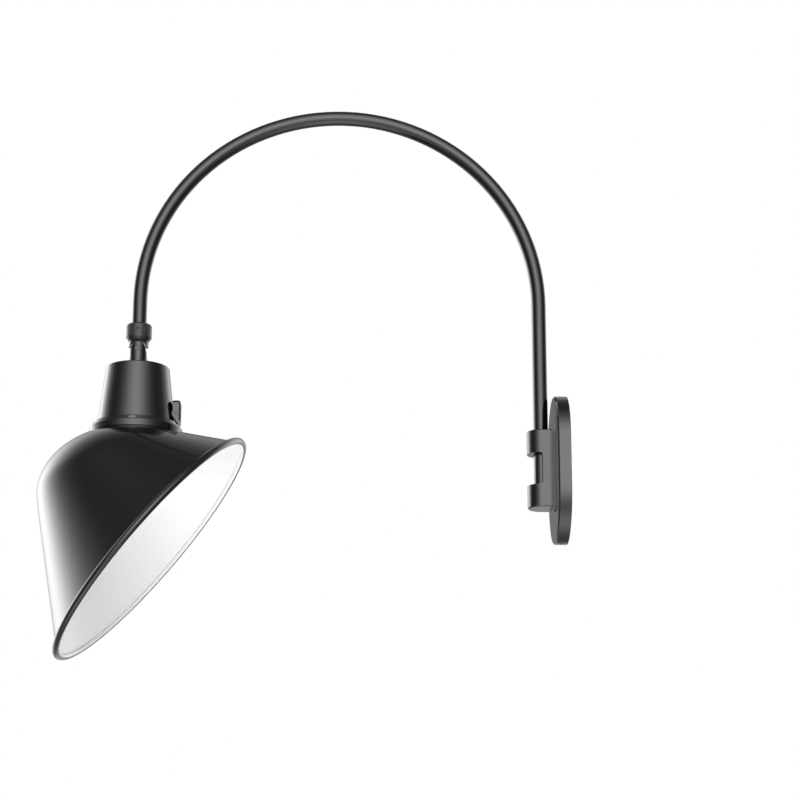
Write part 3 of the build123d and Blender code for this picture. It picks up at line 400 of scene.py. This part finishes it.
def reflector_rings(sizes):
    """All rings from near the dome's pole, over the rounded crease and down to the rim."""
    dome = dome_rings(sizes)
    crease = dome_section(sizes, sizes.crease_slope, sizes.crease_offset)
    rim = Ring((
        sizes.axis_y + sizes.rim_y, sizes.rim_z, sizes.rim_radius,
        sizes.rim_radius * math.cos(sizes.rim_tilt),
        sizes.rim_radius * math.sin(sizes.rim_tilt)))
    below = crease.mix(rim, sizes.crease_width / SKIRT_LENGTH)
    last = len(dome) - 1 - ROUNDING_REACH
    above = dome[last]
    onward = above.moved(dome[last - 1], dome[last + 1])
    rounding = []
    for step in range(1, ROUNDING_RINGS):
        part = step / ROUNDING_RINGS
        first, second = above.mix(onward, part), onward.mix(crease, part)
        third = crease.mix(below, part)
        rounding.append(first.mix(second, part).mix(second.mix(third, part), part))
    skirt = [below.mix(rim, step / SKIRT_RINGS) for step in range(SKIRT_RINGS + 1)]
    return dome[:last + 1] + rounding + skirt


def select_only(*pieces):
    """Select these pieces alone, the last of them active."""
    bpy.ops.object.select_all(action="DESELECT")
    for piece in pieces:
        piece.select_set(True)
        bpy.context.view_layer.objects.active = piece


def dress(piece, coats):
    """Give the piece its coats: black paint first, white enamel second."""
    for coat in coats:
        piece.data.materials.append(coat)


def spin_shell(sizes, coats):
    """The sheet from the flange's bore to the rim, black outside and white inside."""
    select_only()
    bpy.ops.mesh.primitive_circle_add(vertices=3, radius=START_RADIUS)
    shell = bpy.context.object
    shell.name = "reflector_shell"
    bpy.ops.object.mode_set(mode="EDIT")
    bpy.ops.mesh.delete(type="VERT")
    for ring in reflector_rings(sizes):
        ring.add(sizes.segments)
    bpy.ops.mesh.select_all(action="SELECT")
    bpy.ops.mesh.bridge_edge_loops()
    bpy.ops.mesh.select_all(action="SELECT")
    flange_centre = (0.0, sizes.axis_y, sizes.flange_z)
    bpy.ops.mesh.bisect(plane_co=flange_centre, plane_no=(0.0, 0.0, 1.0), clear_outer=True)
    bpy.ops.mesh.extrude_edges_indiv()
    shrink = sizes.flange_radius / FLANGE_EDGE_RADIUS
    bpy.ops.transform.resize(value=(shrink, shrink, 1.0), center_override=flange_centre)
    bpy.ops.mesh.select_all(action="SELECT")
    bpy.ops.mesh.remove_doubles(threshold=MERGE_DISTANCE)
    bpy.ops.mesh.normals_make_consistent(inside=False)
    bpy.ops.object.mode_set(mode="OBJECT")
    dress(shell, coats)
    wall = shell.modifiers.new("Sheet", "SOLIDIFY")
    wall.thickness = sizes.sheet
    wall.offset = -1.0
    wall.use_even_offset = True
    wall.material_offset = 1
    bpy.ops.object.modifier_apply(modifier="Sheet")
    bpy.ops.object.shade_smooth_by_angle(angle=SMOOTH_ANGLE)
    return shell


def roll_bead(sizes, coats):
    """The rolled rim, with the enamel reaching round its inner side."""
    select_only()
    rim_centre = Vector((0.0, sizes.axis_y + sizes.rim_y, sizes.rim_z))
    bpy.ops.mesh.primitive_torus_add(
        major_segments=sizes.segments, minor_segments=BEAD_SECTIONS,
        major_radius=sizes.bead_circle, minor_radius=sizes.bead_radius,
        location=rim_centre, rotation=(sizes.rim_tilt, 0.0, 0.0))
    bead = bpy.context.object
    bead.name = "reflector_bead"
    bpy.ops.object.transform_apply(location=True, rotation=True, scale=True)
    bpy.ops.object.shade_smooth()
    dress(bead, coats)
    opening = Vector((0.0, math.sin(sizes.rim_tilt), -math.cos(sizes.rim_tilt)))
    enamel_limit = math.sin(sizes.enamel_edge)
    for face in bead.data.polygons:
        faces_axis = face.normal.dot(rim_centre - face.center) > 0.0
        if faces_axis and face.normal.dot(opening) < enamel_limit:
            face.material_index = 1
    return bead


class LAMP_OT_reflector(bpy.types.Operator):
    """Make the reflector: dome, soft crease, skirt and rolled bead, black outside, white inside"""

    bl_idname = "lamp.reflector"
    bl_label = "Reflector"

    def execute(self, context):
        sizes = context.scene.reflector_sizes
        finishes = context.scene.lamp_finishes
        enamel = white_enamel(finishes.enamel, finishes.enamel_gloss)
        coats = (bpy.data.materials["Black paint"], enamel)
        shell = spin_shell(sizes, coats)
        bead = roll_bead(sizes, coats)
        select_only(bead, shell)
        bpy.ops.object.join()
        select_only(shell)
        bpy.ops.object.transform_apply(location=True, rotation=True, scale=True)
        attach(shell, "reflector")
        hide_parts("shade")
        return {"FINISHED"}


def lobe(bench, direction, azimuth, elevation, spread):
    """A soft round light in the world: 1 in its middle, fading out over its spread."""
    level = math.cos(math.radians(elevation))
    middle = (
        level * math.cos(math.radians(azimuth)), level * math.sin(math.radians(azimuth)),
        math.sin(math.radians(elevation)))
    facing = bench.node(
        "ShaderNodeVectorMath", {"operation": "DOT_PRODUCT"}, {0: direction, 1: middle},
        output="Value")
    return math.e ** ((facing - 1.0) * (1 / math.radians(spread) ** 2))


def place_camera(context, studio):
    """The camera at the photograph's angle."""
    camera_data = bpy.data.cameras.new("Camera")
    camera_data.sensor_width = SENSOR_WIDTH
    camera_data.lens = studio.lens
    camera_data.clip_end = CLIP_END
    camera = bpy.data.objects.new("Camera", camera_data)
    context.scene.collection.objects.link(camera)
    look = Vector((
        -math.cos(studio.pitch) * math.cos(studio.yaw),
        math.cos(studio.pitch) * math.sin(studio.yaw),
        math.sin(studio.pitch)))
    camera.location = studio.camera_place
    camera.rotation_mode = "QUATERNION"
    camera.rotation_quaternion = look.to_track_quat("-Z", "Y")
    context.scene.camera = camera


def light_world(context, studio):
    """Soft lights round the lamp, and plain white where the camera sees past it.

    Matt surfaces get a share of the lights, and mirror-like ones see them whole, with the white
    backdrop low behind the lamp.
    """
    world = bpy.data.worlds.new("Studio")
    context.scene.world = world
    world.use_nodes = True
    bench = Bench(world.node_tree)
    direction = bench.node("ShaderNodeTexCoord", output="Generated")
    lights = studio.room
    for setting, azimuth, elevation, spread in SOFT_LIGHTS:
        peak = getattr(studio, setting)
        lights = lights + peak * lobe(bench, direction, azimuth, elevation, spread)
    glossy = bench.ray("Glossy")
    shown = bench.ray("Camera").at_least(bench.ray("Transmission"))
    lights = lights * (1.0 - DARK_GAP_DEPTH * lobe(bench, direction, *DARK_GAP))
    lights = lights * (studio.soft_share + (1.0 - studio.soft_share) * glossy)
    lights = lights.at_least(glossy * lobe(bench, direction, *BACKDROP))
    level = lights * (1.0 - shown) + shown
    background = world.node_tree.nodes["Background"]
    background.inputs["Color"].default_value = WHITE
    world.node_tree.links.new(level.socket, background.inputs["Strength"])


def lay_floor(studio):
    """A pale floor, a little paler to the camera than its light makes it."""
    select_only()
    bpy.ops.mesh.primitive_plane_add(size=FLOOR_SIZE, location=(0.0, 0.0, studio.floor_z))
    floor = bpy.context.object
    floor.name = "Floor"
    pale = Finish("Pale floor", Base_Color=FLOOR_GREY, Roughness=0.8, Emission_Strength=1.0)
    pale.feed("Emission Color", pale.ray("Camera") * studio.floor_lift)
    floor.data.materials.append(pale.material)
    floor.visible_glossy = False


def hang_fill(context, studio):
    """A softbox low under the lamp, which lights the inside of the reflector."""
    fill_data = bpy.data.lights.new("Fill softbox", "AREA")
    fill_data.shape = "RECTANGLE"
    fill_data.size, fill_data.size_y = FILL_SIZE
    fill_data.energy = FILL_POWER
    fill = bpy.data.objects.new("Fill softbox", fill_data)
    fill.location = (*FILL_PLACE, studio.floor_z + FILL_ABOVE_FLOOR)
    fill.rotation_euler = (math.pi, 0.0, 0.0)
    fill.visible_camera = False
    fill.visible_glossy = False
    context.scene.collection.objects.link(fill)


class LAMP_OT_studio(bpy.types.Operator):
    """Make the camera, the soft surroundings, the fill light and the floor"""

    bl_idname = "lamp.studio"
    bl_label = "Studio"

    def execute(self, context):
        studio = context.scene.studio_settings
        place_camera(context, studio)
        light_world(context, studio)
        lay_floor(studio)
        hang_fill(context, studio)
        context.scene.view_settings.view_transform = "Standard"
        return {"FINISHED"}


class LAMP_PT_panel(bpy.types.Panel):
    """The lamp's steps, sizes and colours in the sidebar."""

    bl_idname = "LAMP_PT_panel"
    bl_label = "Wall Lamp"
    bl_space_type = "VIEW_3D"
    bl_region_type = "UI"
    bl_category = "Wall Lamp"

    def draw(self, context):
        for step in STEPS:
            self.layout.operator(step.bl_idname)
        for setting, group in SETTINGS.items():
            for name in group.__annotations__:
                self.layout.prop(getattr(context.scene, setting), name)


SETTINGS = {
    "lamp_finishes": LampFinishes,
    "reflector_sizes": ReflectorSizes,
    "studio_settings": StudioSettings,
}
STEPS = (LAMP_OT_finishes, LAMP_OT_reflector, LAMP_OT_studio)
CLASSES = (*SETTINGS.values(), *STEPS, LAMP_PT_panel)


def register():
    for each in CLASSES:
        bpy.utils.register_class(each)
    for name, group in SETTINGS.items():
        setattr(bpy.types.Scene, name, PointerProperty(type=group))


def unregister():
    for name in SETTINGS:
        delattr(bpy.types.Scene, name)
    for each in reversed(CLASSES):
        bpy.utils.unregister_class(each)


def main():
    register()
    bpy.ops.lamp.finishes()
    bpy.ops.lamp.reflector()
    bpy.ops.lamp.studio()


if __name__ == "__main__":
    main()
